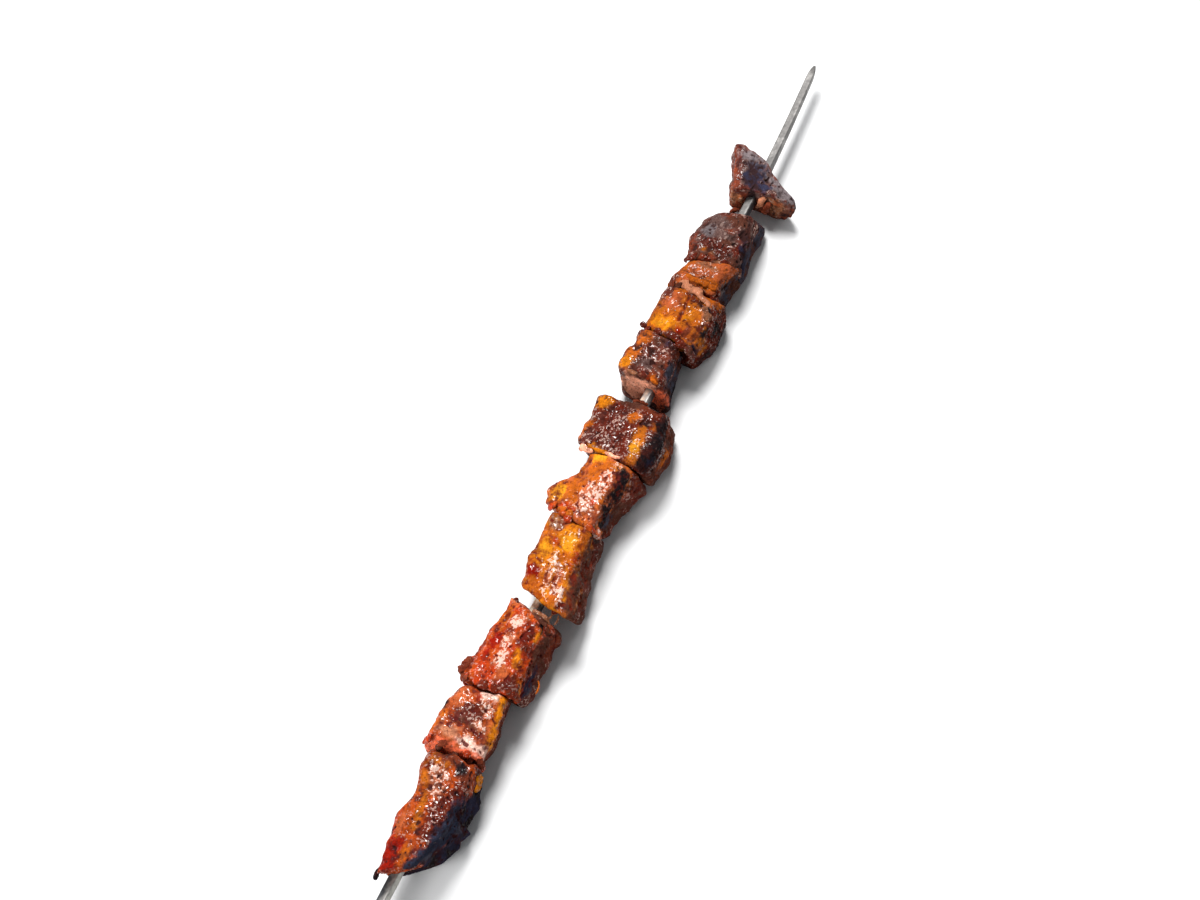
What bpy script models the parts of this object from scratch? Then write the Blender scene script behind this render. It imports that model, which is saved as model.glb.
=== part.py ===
"""Grilled liver kebab: eleven chunks of liver threaded on a square steel skewer, lying down.

X runs along the skewer to its point, Y to the left of it and Z up. The origin is on the surface
that the kebab lies on, under the middle of its length. Sizes are in millimetres up to the point
where a mesh is made, which turns them into metres.
"""
import bpy
import numpy as np

MM = 0.001

# The skewer: square steel bar, cut off plainly at the hand end and forged to a point at the other.
ROD_WIDTH = 4.0
ROD_LENGTH = 545.0
ROD_HEIGHT = 13.0          # from the surface below to the bar's axis
ROD_ROLL = 20.0            # degrees that the bar's faces are turned from level
ROD_CHAMFER = 0.35
BUTT_CHAMFER = 0.6
POINT_LENGTH = 9.0
POINT_ROLL = 5.0           # the free end is twisted back to nearly level
POINT_WIDTH = 3.5          # and drawn out thinner
BEND_START = 195.0         # from here, in the chunk nearest the point, it bends a little to the left
BEND_END = 3.2

# How the chunks are cut and threaded.
TUNNEL_CLEARANCE = 0.3     # round the bar
CONTACT_GAP = 0.3          # between two chunks pressed together
CUT_SQUARENESS = 4.5       # exponent of the blocks' section: 2 is round, more is squarer
CUT_EDGE = 9.0             # the same for the edges between the end cuts and the sides
LUMP_HEIGHT = 1.2          # broad swellings of the meat
LUMP_SIZE = 9.0
CRAG_HEIGHT = 1.0          # smaller crags of the seared crust
CRAG_SIZE = 4.5
END_RELIEF = 0.7           # how deep the end cuts are uneven

# How finely the chunks are faceted.
SECTOR_COUNT = 32          # round the bar; a multiple of 8 puts a point at each corner of the tunnel
RING_SPACING = 3.6
LATTICE_SIZE = 32

# Each chunk, from the point to the hand. An end cut is where it meets the bar's axis, its slant
# (mm further along per mm to the left), its lean (the same per mm up) and its bow (mm that it
# bulges in the middle, over 20 mm). Where far is missing, the chunk is pressed against the one
# before. Sections from far to near are the half-widths to the left and right of the bar and the
# chunk's roll in degrees. A knob is its place along the chunk from 0 to 1, its direction in
# degrees (0 is left, 90 up, 180 right), how far it stands out, or is dented in, and its width.
CHUNKS = (
    dict(far=(198.0, 0.46, 0.0, 2.7), near=(178.4, -0.28, 0.05, 1.5), top=9.0, under=8.0,
         sections=((21.0, 21.5, -9.0), (13.5, 21.5, -11.0), (10.6, 20.0, -8.0)),
         knobs=((0.2, 80.0, 1.5, 5.0),),
         colour=(0.09, 0.035, 0.03)),
    dict(far=(167.0, -0.24, -0.42, 0.0), near=(134.0, -0.16, -0.17, 0.0), top=11.5, under=13.5,
         sections=((14.5, 10.5, 12.0), (16.5, 11.5, 6.0), (12.0, 13.5, 4.0)),
         knobs=((0.2, 85.0, 1.5, 5.0), (0.05, 22.0, -2.5, 7.0)),
         colour=(0.12, 0.035, 0.02)),
    dict(near=(114.9, -0.04, -0.27, 0.0), top=11.5, under=13.0,
         sections=((11.0, 12.5, 4.0), (13.5, 10.0, 4.0), (15.0, 9.0, 7.0)),
         knobs=(),
         colour=(0.35, 0.10, 0.05)),
    dict(near=(84.1, 0.24, -0.15, 0.0), top=12.0, under=13.5,
         sections=((15.5, 14.5, 6.0), (15.0, 15.0, 9.0), (15.0, 15.0, 13.0), (16.5, 10.5, 15.0)),
         knobs=((0.85, 160.0, 1.5, 5.0), (0.5, 118.0, -2.6, 3.5), (0.15, 60.0, 1.0, 4.0)),
         colour=(0.38, 0.13, 0.03)),
    dict(near=(57.4, 0.05, 0.05, 0.0), top=11.5, under=13.0,
         sections=((16.0, 5.5, 2.0), (17.5, 6.5, 7.0), (16.0, 8.5, 14.0)),
         knobs=((0.75, 20.0, 1.2, 5.0), (0.35, 14.0, -2.6, 3.2)),
         colour=(0.16, 0.045, 0.03)),
    dict(far=(46.0, -0.06, -0.18, 0.0), near=(15.7, 0.12, -0.25, 0.0), top=13.0, under=13.5,
         sections=((19.0, 17.0, 6.0), (18.5, 21.5, 18.0), (18.0, 21.0, 15.0)),
         knobs=((0.12, 35.0, 1.8, 5.0),),
         colour=(0.15, 0.045, 0.02)),
    dict(near=(-19.0, 0.14, -0.36, 0.0), top=12.0, under=13.5,
         sections=((7.5, 17.5, 26.0), (9.5, 15.0, 19.0), (17.0, 11.5, 10.0), (18.0, 9.5, 5.0)),
         knobs=((0.7, 15.0, 1.5, 4.0),),
         colour=(0.36, 0.10, 0.03)),
    dict(near=(-59.3, 0.30, -0.50, 0.0), top=12.0, under=13.5,
         sections=((11.5, 11.0, 13.0), (12.0, 14.0, 11.0), (9.5, 20.3, 12.0)),
         knobs=((0.35, 60.0, 1.2, 6.0),),
         colour=(0.42, 0.13, 0.02)),
    dict(far=(-66.8, 0.29, -0.33, 0.0), near=(-109.6, -0.08, -0.20, 0.0), top=12.0, under=13.5,
         sections=((9.0, 14.5, 30.0), (9.0, 13.2, 28.0), (10.5, 13.8, 20.0), (13.2, 14.0, 6.0)),
         knobs=((0.82, 8.0, 4.6, 3.8),),
         colour=(0.30, 0.06, 0.03)),
    dict(far=(-111.8, -0.25, -0.05, 0.0), near=(-141.5, 0.0, 0.05, 0.0), top=11.0, under=13.5,
         sections=((14.0, 8.2, -6.0), (14.5, 11.0, -7.0), (16.0, 11.0, -9.0)),
         knobs=(),
         colour=(0.33, 0.06, 0.04)),
    dict(far=(-143.6, 0.0, -0.08, 0.0), near=(-198.5, -0.80, -0.22, 0.0), top=12.0, under=13.5,
         sections=((12.0, 13.0, -5.0), (6.5, 15.0, 13.0), (6.0, 16.2, 24.0), (2.5, 13.0, 20.0)),
         knobs=((0.6, 60.0, 1.2, 6.0),),
         colour=(0.14, 0.04, 0.025)),
)


def relief(points, cell, seed):
    """Smooth random relief from -1 to 1.

    Random numbers sit on a cubic lattice that is `cell` mm apart. A point gets the mean of the
    eight round it, weighted by its smoothed distance to each.
    """
    lattice = np.random.default_rng(seed).uniform(-1.0, 1.0, (LATTICE_SIZE,) * 3)
    place = points / cell
    corner = np.floor(place).astype(int)
    blend = place - corner
    blend = blend * blend * (3.0 - 2.0 * blend)
    total = np.zeros(points.shape[:-1])
    for step in np.ndindex(2, 2, 2):
        weight = np.prod(np.where(step, blend, 1.0 - blend), axis=-1)
        total += weight * lattice[tuple(np.moveaxis((corner + step) % LATTICE_SIZE, -1, 0))]
    return total


def cut_place(cut, side, height):
    """X of an end cut at a point `side` mm to the left of the bar's axis and `height` above it."""
    place, slant, lean, bow = cut
    return place + slant * side + lean * height - bow * (side / 20.0) ** 2


def square_radius(angle, half_width):
    """Distance from the centre of a square to its edge, in the direction `angle` from a face."""
    return half_width / np.maximum(np.abs(np.cos(angle)), np.abs(np.sin(angle)))


def block_radius(angle, left, right, top, under):
    """Distance from the bar's axis to the outside of a block that is cut square with soft edges.

    In the block's own directions, (across / half-width)^n + (up / half-height)^n = 1.
    """
    across = np.cos(angle)
    up = np.sin(angle)
    width = np.where(across > 0.0, left, right)
    height = np.where(up > 0.0, top, under)
    squareness = np.abs(across / width) ** CUT_SQUARENESS + np.abs(up / height) ** CUT_SQUARENESS
    return squareness ** (-1.0 / CUT_SQUARENESS)


def chunk_points(chunk, far, near, seed):
    """Points of a chunk as rings by sectors, from the far mouth of its tunnel to the near one.

    Each ring is a step along the edge of a rounded square whose sides are the far cut, the
    outside and the near cut. The sectors go once round the bar, from a corner of the tunnel.
    """
    length = far[0] - near[0]
    ring_count = 2 * round((length + 22.0) / RING_SPACING / 2.0) + 1
    turn = np.linspace(np.pi, 0.0, ring_count)[:, None]
    size = (np.abs(np.cos(turn)) ** CUT_EDGE + np.abs(np.sin(turn)) ** CUT_EDGE) ** (1.0 / CUT_EDGE)
    along = 0.5 + 0.5 * np.cos(turn) / size
    out = np.abs(np.sin(turn)) / size
    out[[0, -1]] = 0.0

    sector = np.arange(SECTOR_COUNT)[None, :] * 2.0 * np.pi / SECTOR_COUNT + np.pi / 4.0
    angle = sector - np.radians(ROD_ROLL)
    side, up = np.cos(angle), np.sin(angle)

    stations = np.linspace(0.0, 1.0, len(chunk["sections"]))
    left, right, roll = (np.interp(along, stations, values) for values in zip(*chunk["sections"]))
    outside = block_radius(angle + np.radians(roll), left, right, chunk["top"], chunk["under"])
    for place, direction, height, spread in chunk["knobs"]:
        apart = np.angle(np.exp(1j * (angle - np.radians(direction)))) * outside
        distance = np.hypot((along - place) * length, apart)
        outside = outside + height * np.exp(-(distance / spread) ** 2)

    tunnel = square_radius(sector, ROD_WIDTH / 2.0 + TUNNEL_CLEARANCE)
    radius = tunnel + (outside - tunnel) * out
    rough = np.stack(np.broadcast_arrays(along * length, side * radius, up * radius), axis=-1)
    radius = radius + LUMP_HEIGHT * relief(rough, LUMP_SIZE, seed) * out
    radius = radius + CRAG_HEIGHT * relief(rough, CRAG_SIZE, seed + 1) * out
    floor_radius = np.where(up < -0.05, ROD_HEIGHT / np.maximum(-up, 0.05), np.inf)
    radius = np.minimum(radius, floor_radius)

    y, z = side * radius, up * radius
    dent = END_RELIEF * (0.5 + 0.5 * relief(rough, CRAG_SIZE, seed + 2))
    far_x = cut_place(far, y, z) - dent
    near_x = cut_place(near, y, z) + dent
    x = far_x + (near_x - far_x) * along
    return np.stack([x, y, z], axis=-1)


def tube_faces(ring_count, closed):
    """Quads between rings of SECTOR_COUNT points; a closed tube also joins its last ring to its first."""
    ring = np.arange(ring_count if closed else ring_count - 1)[:, None]
    sector = np.arange(SECTOR_COUNT)[None, :]
    next_ring = (ring + 1) % ring_count
    next_sector = (sector + 1) % SECTOR_COUNT
    corners = (ring * SECTOR_COUNT + sector, next_ring * SECTOR_COUNT + sector,
               next_ring * SECTOR_COUNT + next_sector, ring * SECTOR_COUNT + next_sector)
    return np.stack(np.broadcast_arrays(*corners), axis=-1).reshape(-1, 4)


def plain_material(name, colour, roughness, metallic):
    """A Principled material of one colour."""
    material = bpy.data.materials.new(name)
    material.use_nodes = True
    shader = material.node_tree.nodes["Principled BSDF"]
    shader.inputs["Base Color"].default_value = (*colour, 1.0)
    shader.inputs["Roughness"].default_value = roughness
    shader.inputs["Metallic"].default_value = metallic
    return material


def add_object(name, points, faces, material, parent, place):
    """A named object at `place` mm from its parent, of points in mm round that place."""
    mesh = bpy.data.meshes.new(name)
    mesh.from_pydata((points * MM).tolist(), [], [tuple(face) for face in faces])
    mesh.materials.append(material)
    mesh.shade_smooth()
    mesh.validate()
    piece = bpy.data.objects.new(name, mesh)
    piece.parent = parent
    piece.location = [value * MM for value in place]
    bpy.context.scene.collection.objects.link(piece)
    return piece


def add_chunk(number, chunk, far, near, parent):
    """One chunk of liver with the square tunnel that the bar has pushed through it."""
    middle = (far[0] + near[0]) / 2.0
    points = chunk_points(chunk, far, near, seed=100 * number) - (middle, 0.0, 0.0)
    faces = tube_faces(len(points), closed=True)
    material = plain_material(f"liver_{number:02d}", chunk["colour"], 0.35, 0.0)
    add_object(f"liver_piece_{number:02d}", points.reshape(-1, 3), faces, material, parent,
               (middle, 0.0, ROD_HEIGHT))


def add_rod(parent):
    """The square bar as rings along X: a chamfered butt, a straight run, and a bent, twisted point."""
    half = ROD_WIDTH / 2.0
    inner = half - ROD_CHAMFER
    outline = np.array([(half, -inner), (half, inner), (inner, half), (-inner, half),
                        (-half, inner), (-half, -inner), (-inner, -half), (inner, -half)])
    end = ROD_LENGTH / 2.0
    neck = end - POINT_LENGTH
    straight = np.linspace(-end + BUTT_CHAMFER, BEND_START, 9)
    bend = np.linspace(BEND_START, neck, 8)[1:]
    point = neck + POINT_LENGTH * np.array([0.3, 0.55, 0.78, 0.93])
    x = np.concatenate([[-end], straight, bend, point])
    taper = np.clip((x - neck) / POINT_LENGTH, 0.0, 1.0)
    free = np.clip((x - BEND_START) / (end - BEND_START), 0.0, 1.0)
    size = np.sqrt(1.0 - taper ** 1.5) * (1.0 - (1.0 - POINT_WIDTH / ROD_WIDTH) * free)
    size[0] = 1.0 - BUTT_CHAMFER / half

    roll = -np.radians(ROD_ROLL + (POINT_ROLL - ROD_ROLL) * free)[:, None]
    side = outline[:, 0] * np.cos(roll) - outline[:, 1] * np.sin(roll)
    up = outline[:, 0] * np.sin(roll) + outline[:, 1] * np.cos(roll)
    y = side * size[:, None] + BEND_END * free[:, None] ** 1.5
    z = up * size[:, None]
    rings = np.stack([np.broadcast_to(x[:, None], y.shape), y, z], axis=-1)
    points = np.vstack([rings.reshape(-1, 3), [(end, BEND_END, 0.0)]])

    sides = len(outline)
    last = (len(x) - 1) * sides
    faces = [tuple(range(sides))[::-1]]
    for ring in range(len(x) - 1):
        for corner in range(sides):
            after = (corner + 1) % sides
            start, following = ring * sides, (ring + 1) * sides
            faces.append((start + corner, start + after, following + after, following + corner))
    for corner in range(sides):
        faces.append((last + corner, last + (corner + 1) % sides, len(points) - 1))

    steel = plain_material("skewer_steel", (0.30, 0.28, 0.26), 0.45, 1.0)
    rod = add_object("skewer_rod", points, faces, steel, parent, (0.0, 0.0, ROD_HEIGHT))
    rod.data.set_sharp_from_angle(angle=np.radians(30.0))


def build_kebab():
    for leftover in list(bpy.data.objects):
        bpy.data.objects.remove(leftover)
    kebab = bpy.data.objects.new("kebab", None)
    bpy.context.scene.collection.objects.link(kebab)
    add_rod(kebab)
    cut_before = None
    for number, chunk in enumerate(CHUNKS, start=1):
        far = chunk.get("far")
        if far is None:
            place, *angles = cut_before
            far = (place - CONTACT_GAP, *angles)
        add_chunk(number, chunk, far, chunk["near"], kebab)
        cut_before = chunk["near"]


build_kebab()
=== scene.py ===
"""Looks of the grilled liver kebab: eleven glazed chunks on a square steel bar, lying on a pale floor.

X runs along the bar to its point, Y to the left of it and Z up, in metres. Sizes are in millimetres
from the bar's axis (along the bar, left, up) until a mesh is made.
"""
import math

import bpy
import numpy as np
from mathutils import Matrix


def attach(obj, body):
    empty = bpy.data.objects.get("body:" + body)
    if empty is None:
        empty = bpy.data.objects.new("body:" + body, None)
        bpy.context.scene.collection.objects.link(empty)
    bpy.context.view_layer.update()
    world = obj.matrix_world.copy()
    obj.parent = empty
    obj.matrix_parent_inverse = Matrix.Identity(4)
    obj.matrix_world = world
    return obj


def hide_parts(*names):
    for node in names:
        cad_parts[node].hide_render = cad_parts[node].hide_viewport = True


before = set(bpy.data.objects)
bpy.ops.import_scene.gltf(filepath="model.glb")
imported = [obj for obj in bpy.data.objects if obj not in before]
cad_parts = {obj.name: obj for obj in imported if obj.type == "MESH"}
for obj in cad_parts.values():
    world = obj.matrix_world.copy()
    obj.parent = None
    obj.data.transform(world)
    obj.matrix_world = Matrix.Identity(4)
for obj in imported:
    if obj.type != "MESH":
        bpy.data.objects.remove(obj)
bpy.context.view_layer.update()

# ---------------------------------------------------------------- the bar
# A square bar of plain steel, 4 mm wide, forged to a bent point at one end and sawn off at the
# other. Heat and soot have dulled it, and grease has run along it beside the meat. There its left
# faces are brightened as painted light and its right faces are darkened with soot as painted shade.
MM = 0.001
BAR_HEIGHT = 13.0                     # of the bar's axis above the floor
BAR_HALF = 2.0
BAR_ROLL = 20.0                       # degrees
BAR_SQUARENESS = 11.0
BAR_END = 272.5
BAR_BEND_START = 195.0
BAR_BEND = 3.2
BAR_POINT_LENGTH = 9.0
BAR_POINT_HALF = 1.75
BAR_POINT_ROLL = 5.0
BUTT_ROUNDING = 0.6
BUTT_SIZES = (0.25, 0.62, 0.80, 0.93) # of the rings that round the sawn end, as shares of the bar
BAR_RINGS = 900
POINT_RINGS = 40
BAR_SECTORS = 40
DRAWN_SCALE = (60.0, 700.0, 700.0)    # fine lines along the bar, in cells a metre
LATTICE = 32
GRAIN_TURN = np.linalg.qr(np.array([[0.8, 0.5, 0.3], [-0.4, 0.9, 0.2], [-0.2, -0.3, 0.9]]))[0]

# Each tone is its colour (red, green, blue), how craggy the crust is, how dry, and how much glaze or
# grease lies on it; on the meat that last value also sets how thickly it is dotted with painted glints.
CRAGGY, DRY, GLAZE_AND_GLINTS = 3, 4, 5
TONES = {
    "bare steel": (0.45, 0.44, 0.40, 0.3, 0.35, 0.0),
    "steel": (0.25, 0.24, 0.228, 0.3, 0.45, 0.0),
    "dull steel": (0.15, 0.143, 0.137, 0.4, 0.7, 0.0),
    "dark steel": (0.075, 0.076, 0.082, 0.6, 0.8, 0.0),
    "sooty steel": (0.045, 0.043, 0.047, 0.6, 0.9, 0.0),
    # The grease tone is brighter than grease alone, as painted light.
    "grease": (0.98, 0.88, 0.66, 0.2, 0.2, 1.0),
    "dull grease": (0.55, 0.40, 0.30, 0.2, 0.3, 1.0),
}


def relief(points, cell, seed):
    """Random relief from -1 to 1: each point takes the smoothed mean of the eight random numbers
    round it on a cubic lattice `cell` mm apart."""
    lattice = np.random.default_rng(seed).uniform(-1.0, 1.0, (LATTICE,) * 3)
    place = points / cell
    corner = np.floor(place).astype(int)
    blend = place - corner
    blend = blend * blend * (3.0 - 2.0 * blend)
    total = np.zeros(points.shape[:-1])
    for step in np.ndindex(2, 2, 2):
        weight = np.prod(np.where(step, blend, 1.0 - blend), axis=-1)
        total += weight * lattice[tuple(np.moveaxis((corner + step) % LATTICE, -1, 0))]
    return total


def smooth(value, low, high):
    """Rises from 0 at low to 1 at high along 3t^2 - 2t^3."""
    t = np.clip((value - low) / (high - low), 0.0, 1.0)
    return t * t * (3.0 - 2.0 * t)


def stroke_distance(points, start, end):
    """Distance in mm from each point to the straight line between start and end."""
    start, end = np.array(start, float), np.array(end, float)
    line = end - start
    share = np.clip((points - start) @ line / max(line @ line, 1e-9), 0.0, 1.0)
    return np.linalg.norm(points - start - share[..., None] * line, axis=-1)


def painted(points, layer, marks, seed):
    """Lays ragged marks of tone over `layer` in turn.

    A spot is (tone, centre, (half-length along the bar, half-width)) and a stroke is (tone, start,
    end, half-width). Its cover goes from 0 to 1 across its edge, which relief moves by a mm or so.
    """
    turned = points @ GRAIN_TURN
    ragged = 1.5 * relief(turned, 3.1, seed + 20) + 1.4 * relief(turned, 1.2, seed + 21)
    for tone, start, *size in marks:
        if len(size) == 1:
            half_length, half_width = size[0]
            away = points - np.array(start, float)
            distance = np.hypot(away[..., 0] / half_length,
                                np.hypot(away[..., 1], away[..., 2]) / half_width)
            half = min(half_length, half_width)
            inside = (1.0 - distance) * half
        else:
            half = size[1]
            inside = half - stroke_distance(points, start, size[0])
        cover = smooth(inside + ragged * min(half / 2.5, 1.0), -1.2, 1.2)[..., None]
        layer = layer * (1.0 - cover) + np.array(TONES[tone]) * cover
    return layer


def wrapped_mesh(name, points, closed, layer, depth=0.0):
    """A mesh object of rings of points (mm from the bar's axis), joined by quads; several tubes may
    be stacked in front of the rings.

    A closed tube joins its last ring to its first. An open one gets a pole at each end, in the
    middle of the end ring. The points' tones and depths are stored as the attributes skin and
    state.
    """
    points = points.reshape(-1, *points.shape[-3:])
    tube_count, ring_count, sector_count = points.shape[:3]
    first = np.arange(tube_count)[:, None, None] * ring_count * sector_count
    ring = np.arange(ring_count if closed else ring_count - 1)[:, None]
    sector = np.arange(sector_count)[None, :]
    after, beside = (ring + 1) % ring_count, (sector + 1) % sector_count
    corners = (first + ring * sector_count + sector, first + after * sector_count + sector,
               first + after * sector_count + beside, first + ring * sector_count + beside)
    quads = np.stack(np.broadcast_arrays(*corners), axis=-1).reshape(-1, 4)
    flat = points.reshape(-1, 3)
    fans = np.zeros((0, 3), int)
    if not closed:
        start = first[:, 0] + sector
        last = start + (ring_count - 1) * sector_count
        pole = len(flat) + np.arange(tube_count)[:, None] + 0 * sector
        flat = np.vstack([flat, points[:, 0].mean(1), points[:, -1].mean(1)])
        fans = np.vstack([np.stack([start, start[:, beside[0]], pole], -1).reshape(-1, 3),
                          np.stack([last[:, beside[0]], last, pole + tube_count], -1).reshape(-1, 3)])
    flat = (flat + (0.0, 0.0, BAR_HEIGHT)) * MM
    mesh = bpy.data.meshes.new(name)
    mesh.vertices.add(len(flat))
    mesh.vertices.foreach_set("co", flat.ravel())
    loops = np.concatenate([quads.ravel(), fans.ravel()])
    sizes = np.concatenate([np.full(len(quads), 4), np.full(len(fans), 3)])
    mesh.loops.add(len(loops))
    mesh.loops.foreach_set("vertex_index", loops)
    mesh.polygons.add(len(sizes))
    mesh.polygons.foreach_set("loop_start", np.concatenate([[0], np.cumsum(sizes)[:-1]]))
    mesh.update(calc_edges=True)
    mesh.shade_smooth()
    tones = layer.reshape(-1, layer.shape[-1])
    poles = len(flat) - len(tones)
    tones = np.vstack([tones, np.repeat(tones[:1], poles, axis=0)])
    deep = np.append(np.broadcast_to(depth, points.shape[:3]), np.zeros(poles))
    skin = mesh.attributes.new("skin", "FLOAT_COLOR", "POINT")
    skin.data.foreach_set("color", np.column_stack([tones[:, :3], np.ones(len(tones))]).ravel())
    state = mesh.attributes.new("state", "FLOAT_COLOR", "POINT")
    values = np.column_stack([tones[:, DRY], deep, tones[:, GLAZE_AND_GLINTS], tones[:, CRAGGY]])
    state.data.foreach_set("color", values.ravel())
    piece = bpy.data.objects.new(name, mesh)
    bpy.context.scene.collection.objects.link(piece)
    return piece


def bar_surface():
    """Rounded squares along X: |across|^n + |up|^n = half^n, shrunk to nothing at the point.

    Towards the point the squares turn, shrink and move left. Relief of a few hundredths of a mm
    makes the faces uneven, as forged.
    """
    plain_end = BAR_END - BAR_POINT_LENGTH - 1.5
    to_tip = 1.0 - np.linspace(0.0, 1.0, POINT_RINGS)
    x = np.concatenate([[-BAR_END] * 3, np.linspace(-BAR_END + BUTT_ROUNDING, plain_end, BAR_RINGS),
                        BAR_END - BAR_POINT_LENGTH * to_tip ** 1.3])
    angle = np.arange(BAR_SECTORS)[None, :] * 2.0 * np.pi / BAR_SECTORS + np.pi / 4.0
    taper = np.clip((x - BAR_END + BAR_POINT_LENGTH) / BAR_POINT_LENGTH, 0.0, 1.0)
    free = np.clip((x - BAR_BEND_START) / (BAR_END - BAR_BEND_START), 0.0, 1.0)
    size = np.sqrt(1.0 - taper ** 1.5) * (1.0 - (1.0 - BAR_POINT_HALF / BAR_HALF) * free)
    size[:4] = BUTT_SIZES
    radius = (np.abs(np.cos(angle)) ** BAR_SQUARENESS
              + np.abs(np.sin(angle)) ** BAR_SQUARENESS) ** (-1.0 / BAR_SQUARENESS) * BAR_HALF
    radius = radius * size[:, None]
    roll = np.radians(BAR_ROLL + (BAR_POINT_ROLL - BAR_ROLL) * free)[:, None]
    y, z = radius * np.cos(angle - roll), radius * np.sin(angle - roll)
    points = np.stack([np.broadcast_to(x[:, None], y.shape), y, z], axis=-1)
    forged = 0.05 * relief(points, 6.0, 5) + 0.03 * relief(points @ GRAIN_TURN, 1.4, 6)
    points[..., 1:] *= (1.0 + (forged / BAR_HALF) * smooth(size, 0.3, 0.9)[:, None])[..., None]
    points[..., 1] += BAR_BEND * free[:, None] ** 1.5
    return points


# Beside the meat the grease on each left face is brightened as painted light, and the soot on each right
# face is partly painted shade. Near the hand the right face is paler and the left face darker.
bar_marks = (
    ("dull steel", (250, 3, 1), (16, 3)), ("dull steel", (228, 1, 1.5), (9, 3)),
    ("dull steel", (205, -1, 1), (12, 3)), ("dull steel", (270, 3, 0), (3.5, 4)),
    ("sooty steel", (172, -2.2, 0), (8, 2.4)), ("dull steel", (172, 1, 2), (9, 1.4)),
    ("sooty steel", (51, -2.4, -1), (7, 1.9)), ("dull grease", (51, 1.6, 2), (5.5, 1.5)),
    ("sooty steel", (-63, -2.6, 0), (8, 2.4)), ("grease", (-63, 1.9, 1.8), (7, 2.6)),
    ("bare steel", (-232, -2.6, 0.2), (48, 2.6)), ("sooty steel", (-205, 2.4, 0.6), (10, 2.2)),
    ("dark steel", (-235, 2.4, 1.0), (40, 2.0)),
)
bar_points = bar_surface()
bar_layer = np.broadcast_to(np.array(TONES["steel"]), (*bar_points.shape[:2], 6)).copy()
bar_mix = smooth(relief(bar_points, 9.0, 7) + 0.4 * relief(bar_points, 2.5, 8), 0.0, 0.7)[..., None]
bar_layer = bar_layer * (1.0 - bar_mix) + np.array(TONES["dull steel"]) * bar_mix
bar_layer = painted(bar_points, bar_layer, bar_marks, 9)
bar = wrapped_mesh("steel_bar", bar_points, False, bar_layer)


class Finish:
    """A material, and short calls for the nodes that the finishes are made of.

    The meshes store two attributes: skin, the painted colour, and state, which holds how dry, how
    deep and how glazed each point is, with the cragginess as its alpha.
    """

    def __init__(self, name):
        self.material = bpy.data.materials.new(name)
        self.material.use_nodes = True
        self.nodes = self.material.node_tree.nodes
        self.place = self.nodes.new("ShaderNodeTexCoord").outputs["Object"]
        parts = self.nodes.new("ShaderNodeSeparateColor")
        self.feed(parts.inputs["Color"], self.attribute("state"))
        self.dry, self.deep, self.glazed = parts.outputs

    def feed(self, socket, value):
        """Links value to the socket where it is an output, or sets the socket to it."""
        if isinstance(value, bpy.types.NodeSocket):
            self.material.node_tree.links.new(value, socket)
        else:
            socket.default_value = value

    def shade(self, title, value):
        """Feeds one input of the shader."""
        self.feed(self.nodes["Principled BSDF"].inputs[title], value)

    def attribute(self, title, output="Color"):
        """What the mesh stores under this title."""
        node = self.nodes.new("ShaderNodeAttribute")
        node.attribute_name = title
        return node.outputs[output]

    def noise(self, scale, detail, roughness=0.55, place=None):
        """Random cells 1 / scale of a metre apart, with `detail` finer layers in them."""
        node = self.nodes.new("ShaderNodeTexNoise")
        self.feed(node.inputs["Vector"], place or self.place)
        self.feed(node.inputs["Scale"], scale)
        self.feed(node.inputs["Detail"], detail)
        self.feed(node.inputs["Roughness"], roughness)
        return node.outputs["Fac"]

    def ramp(self, value, low, high, start=0.0, end=1.0):
        """Goes evenly from start to end while value goes from low to high, and stays there."""
        node = self.nodes.new("ShaderNodeMapRange")
        for socket, number in zip(node.inputs, (value, low, high, start, end)):
            self.feed(socket, number)
        return node.outputs["Result"]

    def combined(self, operation, first, second):
        """The sum, difference or product of two values."""
        node = self.nodes.new("ShaderNodeMath")
        node.operation = operation
        self.feed(node.inputs[0], first)
        self.feed(node.inputs[1], second)
        return node.outputs["Value"]

    def brightened(self, colour, factor):
        """The colour times a factor."""
        node = self.nodes.new("ShaderNodeVectorMath")
        node.operation = "SCALE"
        self.feed(node.inputs[0], colour)
        self.feed(node.inputs["Scale"], factor)
        return node.outputs["Vector"]

    def over(self, base, colour, share):
        """base with a share of one plain colour laid over it."""
        node = self.nodes.new("ShaderNodeMix")
        node.data_type = "RGBA"
        self.feed(node.inputs["A"], base)
        self.feed(node.inputs["B"], (*colour, 1.0))
        self.feed(node.inputs["Factor"], share)
        return node.outputs["Result"]

    def bumps(self, height, strength, distance):
        """The normal of a surface raised by height times distance, in metres."""
        node = self.nodes.new("ShaderNodeBump")
        self.feed(node.inputs["Height"], height)
        self.feed(node.inputs["Strength"], strength)
        self.feed(node.inputs["Distance"], distance)
        return node.outputs["Normal"]


steel = Finish("dulled_steel")
drawn = steel.nodes.new("ShaderNodeMapping")
drawn.inputs["Scale"].default_value = DRAWN_SCALE
steel.feed(drawn.inputs["Vector"], steel.place)
scratches = steel.noise(1.0, 4.0, 0.5, drawn.outputs["Vector"])
spots = steel.noise(620.0, 3.0, 0.5)
speckle = steel.ramp(spots, 0.3, 0.7, 0.72, 1.22)
steel.shade("Base Color", steel.brightened(steel.attribute("skin"), speckle))
steel.shade("Metallic", steel.ramp(steel.glazed, 0.0, 1.0, 0.55, 0.0))
steel.shade("Roughness", steel.ramp(steel.dry, 0.0, 1.0, 0.32, 0.66))
steel.shade("Normal", steel.bumps(steel.combined("ADD", scratches, spots), 0.5, 0.00012))
bar.data.materials.append(steel.material)
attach(bar, "root")
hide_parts("skewer_rod")

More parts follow.
